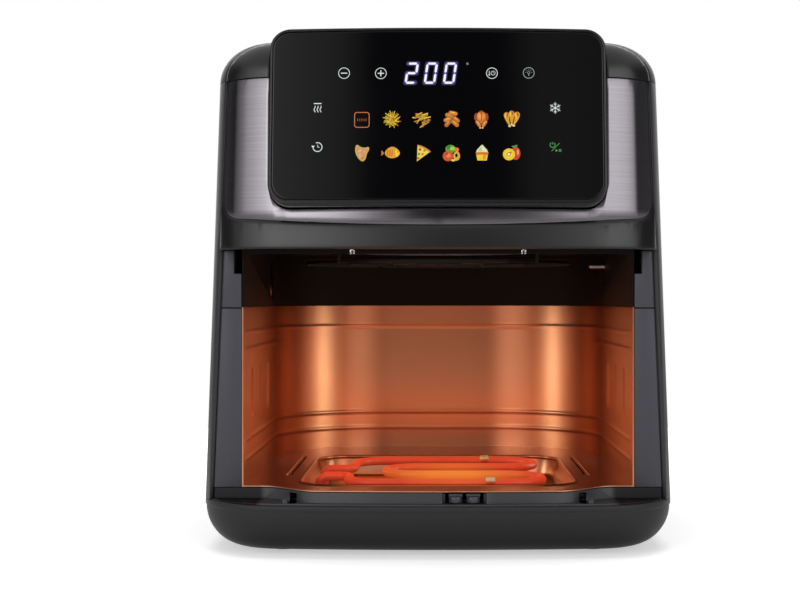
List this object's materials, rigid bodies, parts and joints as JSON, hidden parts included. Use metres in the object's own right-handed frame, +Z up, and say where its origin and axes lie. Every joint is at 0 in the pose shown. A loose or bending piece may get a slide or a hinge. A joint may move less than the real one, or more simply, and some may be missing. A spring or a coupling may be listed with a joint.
{
  "type": "glass air fryer",
  "caption": "Front-loading countertop air fryer with a drawer bay, steel liner, glowing tube element, overhead fan and element, roller catch, and a black glass touch panel.",
  "frame": {"origin": "on the worktop, under the centre of the body's bounding box", "axes": "+Z up, +X to the right as seen from the front, +Y to the back; the open front faces -Y"},
  "size_m": [0.32, 0.34, 0.3497],
  "materials": {
    "shell": "satin dark grey moulded plastic with a fine sheen",
    "tub": "matt dark grey moulded plastic",
    "front_moulding": "satin charcoal moulded plastic",
    "jamb": "satin mid grey moulded plastic",
    "fascia": "stainless steel brushed from side to side",
    "bezel": "satin charcoal frame",
    "panel_glass": "black back-printed touch glass, polished",
    "liner": "bright pressed sheet steel, softly polished",
    "dark_enamel": "dark heat-proof enamel",
    "hot_element": "heating element aglow",
    "element_sheath": "oxidised heating tube",
    "clip": "gold passivated spring clip",
    "zinc": "galvanised sheet steel",
    "ceramic": "unglazed white steatite",
    "bearing": "sintered bronze bush",
    "copper": "enamelled copper winding",
    "lamination": "stacked electrical steel",
    "board": "green solder-masked circuit board",
    "black_plastic": "matt black moulded plastic",
    "rubber": "matt black rubber",
    "chrome": "bright chromed steel wire",
    "roller": "grey low-friction nylon",
    "lens": "clear heat-proof glass"
  },
  "bodies": {
    "housing": {"base_tub": "tub", "foot_front_left": "rubber", "foot_front_right": "rubber", "foot_rear_left": "rubber", "foot_rear_right": "rubber", "outer_shell": "shell", "top_cover": "shell", "front_frame": "front_moulding", "fascia_plate": "fascia", "panel_bezel": "bezel", "panel_glass": "panel_glass", "display_board": "board", "display_module": "black_plastic", "header_lip": "dark_enamel", "header_clip_left": "chrome", "header_clip_right": "chrome", "jamb_lower_left": "jamb", "jamb_lower_right": "jamb", "jamb_upper_left": "jamb", "jamb_upper_right": "jamb", "sill_frame": "jamb", "latch_housing": "black_plastic", "drawer_switch": "black_plastic", "cavity_liner": "liner", "element_pan": "liner", "bottom_element": "hot_element", "element_clip_front": "clip", "element_clip_rear": "clip", "element_terminal": "ceramic", "upper_chamber": "dark_enamel", "lamp_lens": "lens", "lamp_socket": "ceramic", "temperature_probe": "zinc", "fan_shroud": "zinc", "element_guard": "element_sheath", "top_element": "element_sheath", "heat_shield": "zinc", "motor_bracket_lower": "zinc", "motor_bracket_upper": "zinc", "bearing_lower": "bearing", "bearing_upper": "bearing", "motor_stator": "lamination", "motor_coil": "copper", "power_board": "board", "thermal_fuse": "ceramic", "rear_grille": "shell", "cord_gland": "rubber"},
    "fan_rotor": {"fan_impeller": "zinc", "motor_shaft": "chrome", "motor_rotor": "lamination", "cooling_fan": "black_plastic"},
    "latch_left": {"latch_jaw_left": "jamb"},
    "latch_right": {"latch_jaw_right": "jamb"},
    "roller_left": {"latch_roller_left": "roller"},
    "roller_right": {"latch_roller_right": "roller"},
    "switch_plunger": {"switch_plunger": "roller"}
  },
  "joints": [
    {"name": "fan_spin", "type": "hinge", "parent": "housing", "child": "fan_rotor", "pos_m": [0, -0.005, 0.25], "axis": [0, 0, 1], "continuous": true},
    {"name": "latch_left_slide", "type": "slide", "parent": "housing", "child": "latch_left", "axis": [-1, 0, 0], "range_m": [0, 0.002], "stiffness_N_per_m": 500},
    {"name": "latch_right_slide", "type": "slide", "parent": "housing", "child": "latch_right", "axis": [1, 0, 0], "range_m": [0, 0.002], "stiffness_N_per_m": 500},
    {"name": "roller_left_spin", "type": "hinge", "parent": "latch_left", "child": "roller_left", "pos_m": [0.01155, -0.1616, 0.0387], "axis": [0, 0, 1], "continuous": true},
    {"name": "roller_right_spin", "type": "hinge", "parent": "latch_right", "child": "roller_right", "pos_m": [0.02305, -0.1616, 0.0387], "axis": [0, 0, 1], "continuous": true},
    {"name": "switch_press", "type": "slide", "parent": "housing", "child": "switch_plunger", "axis": [0, 1, 0], "range_m": [0, 0.002], "stiffness_N_per_m": 300}
  ]
}
